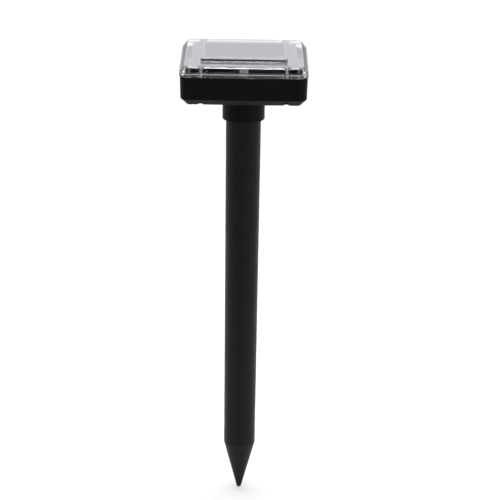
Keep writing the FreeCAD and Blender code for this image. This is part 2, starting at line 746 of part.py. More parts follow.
def make_collar():
    """The socket for the stake, whose neck goes up through the floor and seats the sound capsule."""
    body = new_body("collar")
    revolve(body, outline(body, "collar_outline", [
        ("socket_radius", "mouth_z"),
        ("collar_radius", "mouth_z"),
        ("collar_radius", "housing_z"),
        ("seat_radius", "housing_z"),
        ("seat_radius", "seat_top"),
        ("seat_bore", "seat_top"),
        ("seat_bore", "floor_z"),
        ("sound_hole_radius", "floor_z"),
        ("sound_hole_radius", "socket_top"),
        ("socket_radius", "socket_top"),
    ]))
    round_loop(body, "collar_edge", "collar_edge", "mouth_z", "collar_side", "collar_side")
    cut_up(body, circles(body, "clamp_pilots", "floor_z", CLAMP_SPOTS, "small_pilot"), "capsule_height")
    keep("collar", body)


def make_cover():
    body = new_body("cover")
    pad(body, square(body, "rim", "cover_z", "cover_side", "cover_corner"), "rim_height")
    loft(body, square(body, "slope_foot", "rim_z", "slope_foot_side", "slope_foot_corner"),
         square(body, "slope_head", "top_z", "top_side", "top_corner"))
    plateau = ("plateau_width", "plateau_depth")
    pad(body, rounded_rectangle(body, "plateau", "top_z", *plateau, "plateau_corner"), "plateau_rise")
    round_loop(body, "rim_edge", "cover_edge", "rim_z", "cover_side", "cover_side")
    round_loop(body, "slope_edge", "cover_edge", "top_z", "top_side", "top_side")
    round_loop(body, "plateau_edge", "plateau_edge", "plateau_z", *plateau)
    round_loop(body, "plateau_foot", "plateau_edge", "top_z", *plateau)
    round_loop(body, "rim_foot", "plateau_edge", "cover_z", "cover_side", "cover_side")
    cut_up(body, square(body, "rim_cavity", "cover_z", "cavity_side", "cavity_corner"), "rim_height")
    loft(body, square(body, "inner_foot", "rim_z", "cavity_side", "cavity_corner"),
         square(body, "inner_head", "top_inner_z", "top_inner_side", "top_inner_corner"), "Subtractive")
    cut_up(body, rounded_rectangle(body, "plateau_cavity", "top_inner_z", "plateau_inner_width",
                                   "plateau_inner_depth", "plateau_inner_corner"),
           "plateau_inner_z - top_inner_z")
    pad(body, circles(body, "posts", "parting_z", SCREW_SPOTS, "post_radius"), "top_inner_z - parting_z")
    cut_up(body, circles(body, "post_pilots", "parting_z", SCREW_SPOTS, "post_pilot_radius"),
           "pilot_top - parting_z")
    keep("cover", body)


def make_gasket():
    body = new_body("cover_gasket")
    pad(body, square(body, "gasket_outer", "rebate_z", "gasket_outer_side", "gasket_outer_corner"),
        "cover_z - rebate_z")
    cut_up(body, square(body, "gasket_inner", "rebate_z", "gasket_inner_side", "gasket_inner_corner"),
           "cover_z - rebate_z")
    keep("cover_gasket", body)


def make_cover_screws():
    for index, (x, y) in enumerate(SCREW_SPOTS, start=1):
        turned_part("cover_screw_%d" % index, [
            ("screw_recess_radius", "screw_head_z"),
            ("screw_head_radius", "screw_head_z"),
            ("screw_head_radius", "counterbore_z"),
            ("screw_shank_radius", "counterbore_z"),
            ("screw_shank_radius", "screw_top"),
            (None, "screw_top"),
            (None, "screw_recess_z"),
            ("screw_recess_radius", "screw_recess_z"),
        ], x, y)


# ---- solar panel and its tray --------------------------------------------------------------------

def make_tray():
    """The panel's tray, whose skirt and brim hide the circuit board under the clear cover."""
    body = new_body("panel_tray")
    pad(body, rounded_rectangle(body, "plate", "tray_z", "tray_width", "tray_depth", "tray_corner"),
        "tray_thickness")
    pad(body, rounded_rectangle(body, "platform", "tray_top", "platform_width", "platform_depth",
                                "plateau_inner_corner"), "platform_z - tray_top")
    pad(body, rounded_rectangle(body, "skirt", "skirt_z", "tray_width", "skirt_depth", "tray_corner"),
        "skirt_height")
    pad(body, square(body, "brim", "skirt_z", "brim_side", "brim_corner"), "brim_thickness")
    cut_up(body, rounded_rectangle(body, "skirt_inside", "skirt_z", "skirt_inner_width",
                                   "skirt_inner_depth", "skirt_inner_corner"), "skirt_height")
    cut_up(body, circles(body, "boss_clearances", "skirt_z", SCREW_SPOTS, "brim_hole"), "brim_thickness")
    cut_up(body, outline(body, "guide_notch", [
        ("-notch_x", "-notch_front"),
        ("notch_x", "-notch_front"),
        ("notch_x", "-notch_back"),
        ("-notch_x", "-notch_back"),
    ], "XY_Plane", "skirt_z"), "brim_thickness")
    pad(body, circles(body, "legs", "floor_z", LEG_SPOTS, "leg_radius"), "tray_z - floor_z")
    pocket = rounded_rectangle(body, "panel_pocket", "backing_z", "pocket_width", "pocket_depth",
                               "pocket_corner")
    bind(pocket, ".AttachmentOffset.Base.y", "panel_y")
    cut_up(body, pocket, "platform_z - backing_z")
    cut_up(body, circles(body, "lead_window", "tray_z", [("socket_pitch", "-lead_start_y")], "lead_window"),
           "backing_z - tray_z")
    keep("panel_tray", body)


def make_panel():
    panel = ("panel_width", "panel_depth", "panel_corner")
    backing = new_body("solar_backing")
    pad(backing, rounded_rectangle(backing, "backing", "backing_z", *panel), "backing_thickness")
    cut_up(backing, rounded_rectangle(backing, "cell_pocket", "cells_z", "cells_width", "cells_depth",
                                      "panel_corner"), "cell_thickness")
    bind(backing, ".Placement.Base.y", "panel_y")
    keep("solar_backing", backing)
    middle = (SIZES["cell_count"] + 1) / 2
    cells = []
    for index in range(1, SIZES["cell_count"] + 1):
        x = "cell_pitch * %.1f" % (index - middle)
        cells.append(block("cell%d" % index, "cell_width", "cell_depth", "cell_thickness", x, "panel_y",
                           "cells_z"))
    group("solar_cells", cells)
    resin = new_body("solar_resin")
    pad(resin, rounded_rectangle(resin, "resin", "resin_z", *panel), "resin_thickness")
    bind(resin, ".Placement.Base.y", "panel_y")
    keep("solar_resin", resin)


# ---- circuit board -------------------------------------------------------------------------------

def small_screw(name, x, y, seat):
    """A pan-head screw whose head sits on the seat."""
    turned_part(name, [
        (None, "-small_screw_length"),
        ("small_screw_shank", "-small_screw_length"),
        ("small_screw_shank", None),
        ("small_screw_head", None),
        ("small_screw_head", "small_screw_head_height"),
        ("small_recess_radius", "small_screw_head_height"),
        ("small_recess_radius", "small_screw_recess"),
        (None, "small_screw_recess"),
    ], x, y, seat)


def make_board():
    body = new_body("circuit_board")
    pad(body, rounded_rectangle(body, "board", None, "board_width", "board_depth", "board_corner"),
        "board_thickness")
    holes = signed("standoff_x", "standoff_y")
    cut_up(body, circles(body, "board_holes", None, holes, "board_hole"), "board_thickness")
    place(body, "0", "-board_y", "board_z")
    keep("circuit_board", body)
    for index, (x, y) in enumerate(BOARD_SPOTS, start=1):
        small_screw("board_screw_%d" % index, x, y, "board_top")


def across_board(name):
    """Where a part of the board stands across it."""
    return "socket_pitch * %.1f" % BOARD_STEPS[name]


def make_components():
    socket = ("socket_width", "socket_depth", "socket_height", "-socket_y")
    blocks = {
        "controller_chip": ("chip_width", "chip_depth", "chip_height", "-board_y - chip_offset"),
        "power_transistor": ("transistor_width", "transistor_depth", "transistor_height", "-board_y"),
        "switch_socket": socket,
        "sound_socket": socket,
        "panel_socket": socket,
        "battery_socket": socket,
    }
    for name, (width, depth, height, y) in blocks.items():
        keep(name, block(name, width, depth, height, across_board(name), y, "board_top"))
    rods = {
        "boost_coil": ("coil_radius", "coil_height", "-board_y - coil_offset"),
        "large_capacitor": ("large_capacitor_radius", "large_capacitor_height",
                            "-board_y - large_capacitor_offset"),
        "small_capacitor": ("small_capacitor_radius", "small_capacitor_height", "-board_y"),
        "indicator_light": ("light_radius", "light_height", "-light_y"),
    }
    for name, (radius, height, y) in rods.items():
        keep(name, rod(name, radius, height, across_board(name), y, "board_top"))


def make_guide():
    """The light guide, which stands over the indicator light and ends under the cover's front slope."""
    body = new_body("light_guide")
    profile = outline(body, "guide_outline", [
        ("-guide_foot_back", "board_top"),
        ("-guide_foot_back", "guide_foot_top"),
        ("-guide_back", "guide_bend_back"),
        ("-guide_back", "guide_top_back"),
        ("-guide_front", "guide_top_front"),
        ("-guide_front", "guide_bend_front"),
        ("-guide_foot_front", "guide_foot_top"),
        ("-guide_foot_front", "board_top"),
    ], "YZ_Plane")
    slab = pad(body, profile, "guide_width")
    slab.Midplane = True
    cut_up(body, circles(body, "light_pocket", "board_top", [(None, "-light_y")], "light_pocket"),
           "light_height + fit_clearance")
    keep("light_guide", body)


# ---- cells ---------------------------------------------------------------------------------------

def make_holder():
    outer = block("holder_outer", "holder_length", "holder_width", "holder_height",
                  "0", "battery_y", "floor_z")
    inner = block("holder_inner", "holder_inner_length", "holder_inner_width", "holder_height",
                  "0", "battery_y", "floor_z + holder_wall")
    keep("battery_holder", cut("battery_holder", outer, inner))


def make_batteries():
    for index, side in ((1, -1), (2, 1)):
        cell = turned_part("battery_cell_%d" % index, [
            (None, "-battery_half"),
            ("battery_radius", "-battery_half"),
            ("battery_radius", "battery_half"),
            ("battery_nub_radius", "battery_half"),
            ("battery_nub_radius", "battery_nub_top"),
            (None, "battery_nub_top"),
        ])
        cell.Placement = Placement(Vector(0, 0, 0), Rotation(Vector(0, 1, 0), -90 * side))
        place(cell, "battery_nub_length * %.1f" % (side / 2),
              "battery_y + battery_pitch * %.1f" % (side / 2), "battery_z")


def contact(name, side, width, y):
    return block(name + "_plate", "contact_thickness", width, "contact_top - floor_z - holder_wall",
                 "contact_x * %d" % side, y, "floor_z + holder_wall")


def make_contacts():
    keep("contact_link", contact("contact_link", -1, "battery_pitch + contact_width", "battery_y"))
    keep("contact_minus", contact("contact_minus", 1, "contact_width", "battery_y + battery_pitch / 2"))
    keep("contact_plus", contact("contact_plus", 1, "contact_width", "battery_y - battery_pitch / 2"))


# ---- sound capsule -------------------------------------------------------------------------------

def make_capsule():
    turned_part("sound_frame", [
        ("capsule_bore", "floor_z"),
        ("capsule_radius", "floor_z"),
        ("capsule_radius", "seat_top"),
        (None, "seat_top"),
        (None, "capsule_roof"),
        ("capsule_bore", "capsule_roof"),
    ])
    turned_part("sound_magnet", [
        (None, "magnet_z"),
        ("magnet_radius", "magnet_z"),
        ("magnet_radius", "capsule_roof"),
        (None, "capsule_roof"),
    ])
    turned_part("sound_diaphragm", [
        (None, "diaphragm_z"),
        ("diaphragm_radius", "diaphragm_z"),
        ("diaphragm_radius", "diaphragm_top"),
        (None, "diaphragm_top"),
    ])
    body = new_body("sound_clamp")
    pad(body, circles(body, "clamp_ring", "seat_top", CENTRE, "seat_radius"), "clamp_thickness")
    cut_up(body, circles(body, "clamp_bore", "seat_top", CENTRE, "clamp_bore"), "clamp_thickness")
    cut_up(body, circles(body, "clamp_holes", "seat_top", CLAMP_SPOTS, "board_hole"), "clamp_thickness")
    keep("sound_clamp", body)
    for index, (x, y) in enumerate(CLAMP_SPOTS, start=1):
        small_screw("clamp_screw_%d" % index, x or "", y, "clamp_top")


# ---- push button and switch ----------------------------------------------------------------------

def make_button():
    turned_part("button_bezel", [
        ("bezel_bore", "bezel_z"),
        ("bezel_rim", "bezel_z"),
        ("bezel_rim", "housing_z"),
        ("bezel_sleeve", "housing_z"),
        ("bezel_sleeve", "sleeve_top"),
        ("bezel_bore", "sleeve_top"),
    ], "-button_x")
    nut = doc.addObject("Part::Prism", "nut_blank")
    nut.Polygon = 6
    bind(nut, "Circumradius", "nut_radius")
    bind(nut, "Height", "nut_height")
    place(nut, "-button_x", "0", "floor_z")
    hole = rod("nut_hole", "bezel_hole", "nut_height", "-button_x", "0", "floor_z")
    keep("bezel_nut", cut("bezel_nut", nut, hole))
    turned_part("power_button", [
        (None, "button_z"),
        ("button_radius", "button_z"),
        ("button_radius", "button_flange_z"),
        ("button_flange_radius", "button_flange_z"),
        ("button_flange_radius", "button_flange_top"),
        (None, "button_flange_top"),
    ], "-button_x")
    turned_part("switch_stem", [
        (None, "button_flange_top"),
        ("stem_radius", "button_flange_top"),
        ("stem_radius", "stem_top"),
        (None, "stem_top"),
    ], "-button_x")
    turned_part("switch_body", [
        ("switch_cavity", "floor_z"),
        ("switch_radius", "floor_z"),
        ("switch_radius", "switch_top"),
        (None, "switch_top"),
        (None, "stem_bore_top"),
        ("stem_bore", "stem_bore_top"),
        ("stem_bore", "switch_cavity_top"),
        ("switch_cavity", "switch_cavity_top"),
    ], "-button_x")
    terminals = []
    for side in (-1, 1):
        terminals.append(block("terminal%d" % (side + 2), "terminal_width", "terminal_thickness",
                               "terminal_height", "terminal_pitch * %d - button_x" % side, "0", "switch_top"))
    group("switch_terminals", terminals)


# ---- leads ---------------------------------------------------------------------------------------

def lead(name, points):
    """A round lead along straight runs joined by tangent arcs."""
    edges = []
    start = points[0]
    for before, corner, after in zip(points, points[1:], points[2:]):
        into = (corner - before).normalize()
        out = (after - corner).normalize()
        turn = into.getAngle(out)
        shorter = min((corner - before).Length, (after - corner).Length)
        reach = BEND_SHARE * shorter
        radius = reach / math.tan(turn / 2)
        arc_start = corner - into * reach
        arc_end = corner + out * reach
        inward = (out - into).normalize()
        centre = corner + inward * (radius / math.cos(turn / 2))
        middle = centre - inward * radius
        edges.append(Part.LineSegment(start, arc_start).toShape())
        edges.append(Part.Arc(arc_start, middle, arc_end).toShape())
        start = arc_end
    edges.append(Part.LineSegment(start, points[-1]).toShape())
    heading = points[1] - points[0]
    section = Part.Wire([Part.Circle(points[0], heading, num("lead_radius")).toShape()])
    item = doc.addObject("Part::Feature", name)
    item.Shape = Part.Wire(edges).makePipeShell([section], True, True)
    keep(name, item)


def make_leads():
    board_y = -num("socket_y")
    socket_top = num("board_top") + num("socket_height")
    spread = num("lead_spacing") / 2
    pitch = num("socket_pitch")
    for sign, side in (("plus", 1), ("minus", -1)):
        x = pitch * BOARD_STEPS["panel_socket"] + side * spread
        start_y = -num("lead_start_y")
        level = socket_top + num("panel_lead_rise")
        lead("panel_lead_" + sign, [
            Vector(x, start_y, num("backing_z")),
            Vector(x, start_y, level),
            Vector(x, board_y, level),
            Vector(x, board_y, socket_top),
        ])
        x = pitch * BOARD_STEPS["sound_socket"] + side * spread
        start_y = -num("clamp_bore") / 2
        level = socket_top + num("sound_lead_rise")
        lead("sound_lead_" + sign, [
            Vector(x, start_y, num("seat_top")),
            Vector(x, start_y, level),
            Vector(x, board_y, level),
            Vector(x, board_y, socket_top),
        ])
        start_x = -num("button_x") + side * num("terminal_pitch")
        end_x = pitch * BOARD_STEPS["switch_socket"] + side * spread
        top = num("switch_top") + num("terminal_height")
        level = top + num("switch_lead_rise")
        lead("switch_lead_" + sign, [
            Vector(start_x, 0, top),
            Vector(start_x, 0, level),
            Vector(end_x, board_y, level),
            Vector(end_x, board_y, socket_top),
        ])
        start_x = num("contact_x")
        start_y = num("battery_y") - side * (num("battery_pitch") / 2 - num("battery_lead_inset"))
        end_x = pitch * BOARD_STEPS["battery_socket"] + side * spread
        level = num("contact_top") + num("battery_lead_rise") - side * num("battery_lead_stagger")
        lead("battery_lead_" + sign, [
            Vector(start_x, start_y, num("contact_top")),
            Vector(start_x, start_y, level),
            Vector(end_x, board_y, level),
            Vector(end_x, board_y, socket_top),
        ])


# ---- build, check and write ----------------------------------------------------------------------

make_tube()
make_tip()
make_ring()
make_housing()
make_collar()
make_cover()
make_gasket()
make_cover_screws()
make_tray()
make_panel()
make_board()
make_components()
make_guide()
make_holder()
make_batteries()
make_contacts()
make_capsule()
make_button()
make_leads()
doc.recompute()

faults = [item.Name for item in doc.Objects if "Invalid" in item.State or "Error" in item.State]
if faults:
    raise RuntimeError("failed features: " + ", ".join(faults))
for name, item in parts.items():
    if item.Shape.isNull() or not item.Shape.isValid():
        raise RuntimeError(name + " has no valid shape")
for name, item in parts.items():
    item.Shape.exportStep("parts/%s.step" % name)
print("%d sub-parts written" % len(parts))
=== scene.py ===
import math

import bpy
from bpy.props import FloatProperty, FloatVectorProperty, PointerProperty
from mathutils import Matrix, Vector


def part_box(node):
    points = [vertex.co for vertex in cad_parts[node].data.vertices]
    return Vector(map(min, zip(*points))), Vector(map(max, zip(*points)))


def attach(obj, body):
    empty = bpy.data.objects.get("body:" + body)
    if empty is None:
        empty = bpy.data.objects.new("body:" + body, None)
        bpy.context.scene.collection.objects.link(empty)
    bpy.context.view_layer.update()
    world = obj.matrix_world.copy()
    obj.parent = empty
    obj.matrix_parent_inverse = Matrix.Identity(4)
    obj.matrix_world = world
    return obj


bl_info = {
    "name": "Solar Stake Repeller",
    "version": (1, 0, 0),
    "blender": (4, 5, 0),
    "location": "View3D > Sidebar > Repeller",
    "description": "Builds the looks of a solar ground-stake pest repeller round its packed model",
    "category": "Object",
}

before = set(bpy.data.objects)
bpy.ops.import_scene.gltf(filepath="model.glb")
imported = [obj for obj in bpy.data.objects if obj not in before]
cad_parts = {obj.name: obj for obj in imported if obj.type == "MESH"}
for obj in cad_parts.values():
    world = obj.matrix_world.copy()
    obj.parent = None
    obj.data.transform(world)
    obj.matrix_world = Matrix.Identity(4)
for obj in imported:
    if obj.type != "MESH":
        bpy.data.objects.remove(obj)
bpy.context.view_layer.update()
MM = 0.001
CLEAR_BOUNCES = 64  # light crosses many clear surfaces in the head
GLOSSY_BOUNCES = 48
FLOOR_SIDE = 12.0
SENSOR_WIDTH = 36.0
LEVEL_SLACK = MM / 1000  # an edge whose two ends differ less in height is level
BACKDROP_START = (0.35, 0.75)  # how far round to the back the backdrop begins, and is full
BACKDROP_TOP = (0.5, 0.75)  # how far up the backdrop begins to fade, and is gone


# ---- settings ----------------------------------------------------------------------------------

def colour(name, description, default):
    """A linear colour setting."""
    return FloatVectorProperty(name=name, description=description, subtype="COLOR", size=3,
                               min=0.0, max=1.0, default=default)


def length(name, description, default):
    """A length setting, in metres."""
    return FloatProperty(name=name, description=description, subtype="DISTANCE", unit="LENGTH",
                         min=0.0, precision=5, default=default)


def power(name, description, default):
    """A light's power, in watts."""
    return FloatProperty(name=name, description=description, unit="POWER", default=default)


class RepellerColours(bpy.types.PropertyGroup):
    """The colours of the repeller's finishes."""

    housing: colour("Housing", "Moulded black of the housing and collar", (0.0045, 0.0045, 0.0042))
    stake: colour("Stake", "Moulded black of the tube and tip", (0.0075, 0.0075, 0.0075))
    tray: colour("Tray", "Gloss black of the panel tray", (0.006, 0.006, 0.007))
    cell: colour("Cells", "Silicon of the solar cells", (0.010, 0.014, 0.035))
    copper: colour("Copper", "Winding of the boost coil", (0.60, 0.22, 0.08))
    board: colour("Board", "Solder mask of the circuit board", (0.010, 0.085, 0.030))


class RepellerSizes(bpy.types.PropertyGroup):
    """The sizes of the repeller's fine detail."""

    grain: length("Grain", "Width of one dimple of the moulded grain", 0.45 * MM)
    cover_corner: length("Cover corner", "Corner radius of the clear cover", 10.0 * MM)
    bead_inset: length("Bead inset", "From the cover's side in to the rim bead", 0.1 * MM)
    bead_width: length("Bead width", "Width of the rim bead", 0.7 * MM)
    bead_height: length("Bead height", "Height of the rim bead", 0.5 * MM)
    bead_level: length("Bead level", "From the cover's foot to the middle of the rim bead", 3.3 * MM)
    ribbon_width: length("Ribbon width", "Width of the tinned ribbon that joins the cells", 1.5 * MM)
    ribbon_thickness: length("Ribbon thickness", "Thickness of that ribbon", 0.12 * MM)
    finger_pitch: length("Finger pitch", "From one printed finger on the cells to the next", 1.6 * MM)
    # The light guide is painted dark below this height, as painted shade where it passes the rim.
    painted_shade_height: length("Painted shade height", "From the cover's foot to the top of the guide's painted shade",
                          3.9 * MM)
    cross_length: length("Cross length", "Across the cross in a screw's head, from tip to tip", 3.0 * MM)
    cross_width: length("Cross width", "Width of one arm of that cross", 0.7 * MM)
    cross_rise: length("Cross rise", "How far that cross stands proud of the screw's head", 0.08 * MM)
    ring_wire: length("Ring wire", "Thickness of a grip ring on the button", 0.3 * MM)
    turn_wire: length("Turn wire", "Thickness of the coil's wire", 0.4 * MM)


class RepellerStage(bpy.types.PropertyGroup):
    """The camera, floor and lights."""

    distance: length("Distance", "From the camera to the stake's axis, along the floor", 1.8176)
    height: length("Height", "Camera height over the stake's point", 0.8741)
    aside: length("Aside", "Camera offset to the right", 0.00765)
    pitch: FloatProperty(name="Pitch", description="Downward tilt of the camera", subtype="ANGLE",
                         default=math.radians(19.148))
    roll: FloatProperty(name="Roll", description="Roll of the camera", subtype="ANGLE",
                        default=math.radians(0.828))
    lens: FloatProperty(name="Lens", description="Focal length in millimetres", default=148.43)
    floor: colour("Floor", "Pale floor", (0.93, 0.93, 0.93))
    backdrop: FloatProperty(name="Backdrop", description="Brightness of the backdrop low behind",
                            default=1.12)
    ambient: FloatProperty(name="Ambient", description="Brightness of the dim surroundings", default=0.012)
    overhead: power("Overhead", "Light on the floor behind the stake", 17.0)
    room: power("Room", "Light on the whole floor", 140.0)
    foot: power("Foot", "Light on the floor at the foot", 1.6)
    front: power("Front", "Front softbox, for the clear cover", 30.0)
    side: power("Side", "Side softbox, for the black plastic", 8.0)


# ---- node helpers --------------------------------------------------------------------------------

class Nodes:
    """A short way to write a material's nodes."""

    def __init__(self, name):
        self.material = bpy.data.materials.new(name)
        self.material.use_nodes = True
        self.tree = self.material.node_tree
        self.shader = self.tree.nodes["Principled BSDF"]
        self.coordinates = self.add("ShaderNodeTexCoord").outputs["Object"]

    def add(self, kind, **settings):
        node = self.tree.nodes.new(kind)
        for key, value in settings.items():
            setattr(node, key, value)
        return node

    def link(self, output, socket):
        self.tree.links.new(output, socket)

    def set(self, **values):
        """Sets sockets of the shader by name, with _ for a space."""
        for key, value in values.items():
            self.shader.inputs[key.replace("_", " ")].default_value = value

    def noise(self, size, detail=2.0, roughness=0.5, vector=None):
        """Noise whose features are about the given size, in metres."""
        node = self.add("ShaderNodeTexNoise")
        node.inputs["Scale"].default_value = 1 / size
        node.inputs["Detail"].default_value = detail
        node.inputs["Roughness"].default_value = roughness
        self.link(vector or self.coordinates, node.inputs["Vector"])
        return node.outputs["Fac"]

    def along(self, axis):
        """The place along one axis, in metres."""
        split = self.add("ShaderNodeSeparateXYZ")
        self.link(self.coordinates, split.inputs["Vector"])
        return split.outputs[axis]

    def stretch(self, scale):
        node = self.add("ShaderNodeMapping")
        node.inputs["Scale"].default_value = scale
        self.link(self.coordinates, node.inputs["Vector"])
        return node.outputs["Vector"]

    def remap(self, value, *limits):
        """Spreads the first two limits over the last two."""
        node = self.add("ShaderNodeMapRange")
        set_range(node, limits)
        self.link(value, node.inputs["Value"])
        return node.outputs["Result"]

    def blend(self, factor, first, second):
        """Mixes two colours, each a tuple or an output."""
        node = self.add("ShaderNodeMix", data_type="RGBA")
        self.link(factor, node.inputs["Factor"])
        for socket, value in ((node.inputs[6], first), (node.inputs[7], second)):
            if isinstance(value, bpy.types.NodeSocket):
                self.link(value, socket)
            else:
                socket.default_value = (*value, 1.0)
        return node.outputs[2]

    def bump(self, height, distance, under=None):
        """Bumps of the given height in metres, on top of those of under."""
        node = self.add("ShaderNodeBump")
        node.inputs["Distance"].default_value = distance
        self.link(height, node.inputs["Height"])
        if under is not None:
            self.link(under, node.inputs["Normal"])
        return node.outputs["Normal"]

    def finish(self, base=None, roughness=None, normal=None):
        for output, socket in ((base, "Base Color"), (roughness, "Roughness"), (normal, "Normal")):
            if output is not None:
                self.link(output, self.shader.inputs[socket])
        return self.material


def set_range(node, limits):
    """Fills the four limits of a Map Range node."""
    for key, number in zip(("From Min", "From Max", "To Min", "To Max"), limits):
        node.inputs[key].default_value = number


def lighter(rgb, factor):
    return tuple(min(1.0, channel * factor) for channel in rgb)


# ---- finishes ------------------------------------------------------------------------------------

def moulded_black(name, rgb, grain, smooth, rough, depth, specular):
    """Moulded plastic: fine spark-eroded grain, slow flow marks and uneven gloss.

    smooth and rough are the roughness of its glossiest and dullest patches, here and below.
    """
    nodes = Nodes(name)
    dimples = nodes.noise(grain, detail=3.0, roughness=0.6)
    clouds = nodes.noise(0.018, detail=3.0)
    base = nodes.blend(nodes.remap(clouds, 0.35, 0.7, 0, 1), tuple(rgb), lighter(rgb, 1.5))
    gloss = nodes.remap(clouds, 0.3, 0.7, smooth, rough)
    slow = nodes.bump(nodes.noise(0.03), 0.00006)
    normal = nodes.bump(dimples, depth, under=slow)
    nodes.set(Specular_IOR_Level=specular)
    return nodes.finish(base, gloss, normal)


def clear_cover():
    """Clear polished plastic with the faint ripple of a moulding."""
    nodes = Nodes("clear_cover")
    ripple = nodes.noise(0.02, detail=1.0)
    nodes.set(Base_Color=(0.975, 0.978, 0.985, 1), Transmission_Weight=1.0, IOR=1.58)
    gloss = nodes.remap(nodes.noise(0.004, detail=4.0), 0.4, 0.75, 0.015, 0.05)
    return nodes.finish(None, gloss, nodes.bump(ripple, 0.00001))


def resin():
    """Clear potting resin over the cells, slightly orange-peeled."""
    nodes = Nodes("panel_resin")
    nodes.set(Base_Color=(0.90, 0.91, 0.92, 1), Transmission_Weight=1.0, IOR=1.3)
    gloss = nodes.remap(nodes.noise(0.003), 0.4, 0.7, 0.5, 0.62)
    return nodes.finish(None, gloss, nodes.bump(nodes.noise(0.0012), 0.00002))


def silicon(rgb, pitch):
    """Dark blue silicon crossed by fine printed fingers."""
    nodes = Nodes("solar_cell")
    wave = nodes.add("ShaderNodeMath", operation="PINGPONG")
    nodes.link(nodes.along("Y"), wave.inputs[0])
    wave.inputs[1].default_value = pitch / 2
    core, edge = 0.06 * MM, 0.1 * MM
    finger = nodes.remap(wave.outputs["Value"], core, edge, 1.0, 0.0)
    grains = nodes.blend(nodes.noise(0.006, detail=0.0), tuple(rgb), lighter(rgb, 1.8))
    base = nodes.blend(finger, grains, (0.30, 0.31, 0.33))
    nodes.set(Specular_IOR_Level=0.4)
    return nodes.finish(base, nodes.remap(nodes.noise(0.002), 0.3, 0.7, 0.35, 0.5))


def plain(name, rgb, smooth, rough, metallic=0.0, specular=0.5):
    """A small part's finish: uneven gloss, slight patches of tone and a fine surface."""
    nodes = Nodes(name)
    patches = nodes.noise(0.006, detail=3.0)
    base = nodes.blend(nodes.remap(patches, 0.35, 0.7, 0, 1), tuple(rgb), lighter(rgb, 1.4))
    gloss = nodes.remap(nodes.noise(0.002, detail=3.0), 0.3, 0.7, smooth, rough)
    nodes.set(Metallic=metallic, Specular_IOR_Level=specular)
    return nodes.finish(base, gloss, nodes.bump(nodes.noise(0.0008), 0.00001))


def brushed(name, rgb, smooth, rough, squeeze):
    """Metal with fine lines, squeezed by the given factor along each axis."""
    nodes = Nodes(name)
    lines = nodes.noise(0.00025, vector=nodes.stretch(squeeze))
    base = nodes.blend(lines, tuple(rgb), lighter(rgb, 1.25))
    nodes.set(Metallic=1.0)
    return nodes.finish(base, nodes.remap(lines, 0.3, 0.7, smooth, rough), nodes.bump(lines, 0.000006))


def frost(nodes, smooth, base=None):
    """Ends a clear finish with a frosted surface."""
    gloss = nodes.remap(nodes.noise(0.0015, detail=3.0), 0.3, 0.7, smooth, 0.6)
    return nodes.finish(base, gloss, nodes.bump(nodes.noise(0.0006), 0.00002))


def frosted(name, rgb, transmission):
    """Frosted clear plastic that lets the given share of the light through."""
    nodes = Nodes(name)
    nodes.set(Base_Color=(*rgb, 1), Transmission_Weight=transmission, IOR=1.49)
    return frost(nodes, 0.35)


def guide_with_painted_shade(edge):
    """Frosted clear plastic above the given height, and painted shade below it, near black and opaque
    where the guide passes the rim.
    """
    nodes = Nodes("guide_frosted")
    soft = 0.3 * MM
    above = nodes.remap(nodes.along("Z"), edge - soft, edge + soft, 0.0, 1.0)
    nodes.set(IOR=1.49)
    nodes.link(nodes.remap(above, 0.0, 1.0, 0.0, 0.5), nodes.shader.inputs["Transmission Weight"])
    # Painted shade: near black below the edge, frosted grey above it.
    base = nodes.blend(above, (0.008, 0.008, 0.008), (0.20, 0.20, 0.21))
    return frost(nodes, 0.4, base)


def dress(material, *names):
    """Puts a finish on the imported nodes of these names."""
    for name in names:
        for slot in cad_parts[name].material_slots:
            slot.material = material


def nodes_named(*words):
    """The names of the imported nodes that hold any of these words."""
    return [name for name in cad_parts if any(word in name for word in words)]


# ---- modelling helpers ---------------------------------------------------------------------------

def start_cube(place, size):
    """A cube primitive of its own size at its place, and nothing else selected."""
    bpy.ops.object.select_all(action="DESELECT")
    bpy.ops.mesh.primitive_cube_add(size=1.0, location=place, scale=size)
    piece = bpy.context.object
    bpy.ops.object.transform_apply(location=True, rotation=True, scale=True)
    return piece


def pick_faces(piece, wanted):
    """Selects, for edit mode, the faces for which wanted(face) is true."""
    bpy.ops.object.mode_set(mode="EDIT")
    bpy.ops.mesh.select_mode(type="FACE")
    bpy.ops.mesh.select_all(action="DESELECT")
    bpy.ops.object.mode_set(mode="OBJECT")
    for face in piece.data.polygons:
        face.select = wanted(face)
    bpy.ops.object.mode_set(mode="EDIT")


def faces_up_or_down(face):
    return abs(face.normal.z) > 0.9


def pick_edges(piece, wanted):
    """Selects, for edit mode, the edges for whose two ends wanted(start, end) is true."""
    bpy.ops.object.mode_set(mode="EDIT")
    bpy.ops.mesh.select_mode(type="EDGE")
    bpy.ops.mesh.select_all(action="DESELECT")
    bpy.ops.object.mode_set(mode="OBJECT")
    points = piece.data.vertices
    for edge in piece.data.edges:
        start, end = edge.vertices
        edge.select = wanted(points[start].co, points[end].co)
    bpy.ops.object.mode_set(mode="EDIT")


def end_edit(smooth_angle):
    """Turns every face outward, leaves edit mode and shades smooth below an angle in degrees."""
    bpy.ops.mesh.select_all(action="SELECT")
    bpy.ops.mesh.normals_make_consistent(inside=False)
    bpy.ops.object.mode_set(mode="OBJECT")
    bpy.ops.object.shade_smooth_by_angle(angle=math.radians(smooth_angle))


def round_edges(width):
    """Bevels every edge of the active object and leaves edit mode."""
    bpy.ops.mesh.select_all(action="SELECT")
    bpy.ops.mesh.bevel(offset=width, segments=2)
    end_edit(40)


def middle(low, high):
    return (low + high) / 2


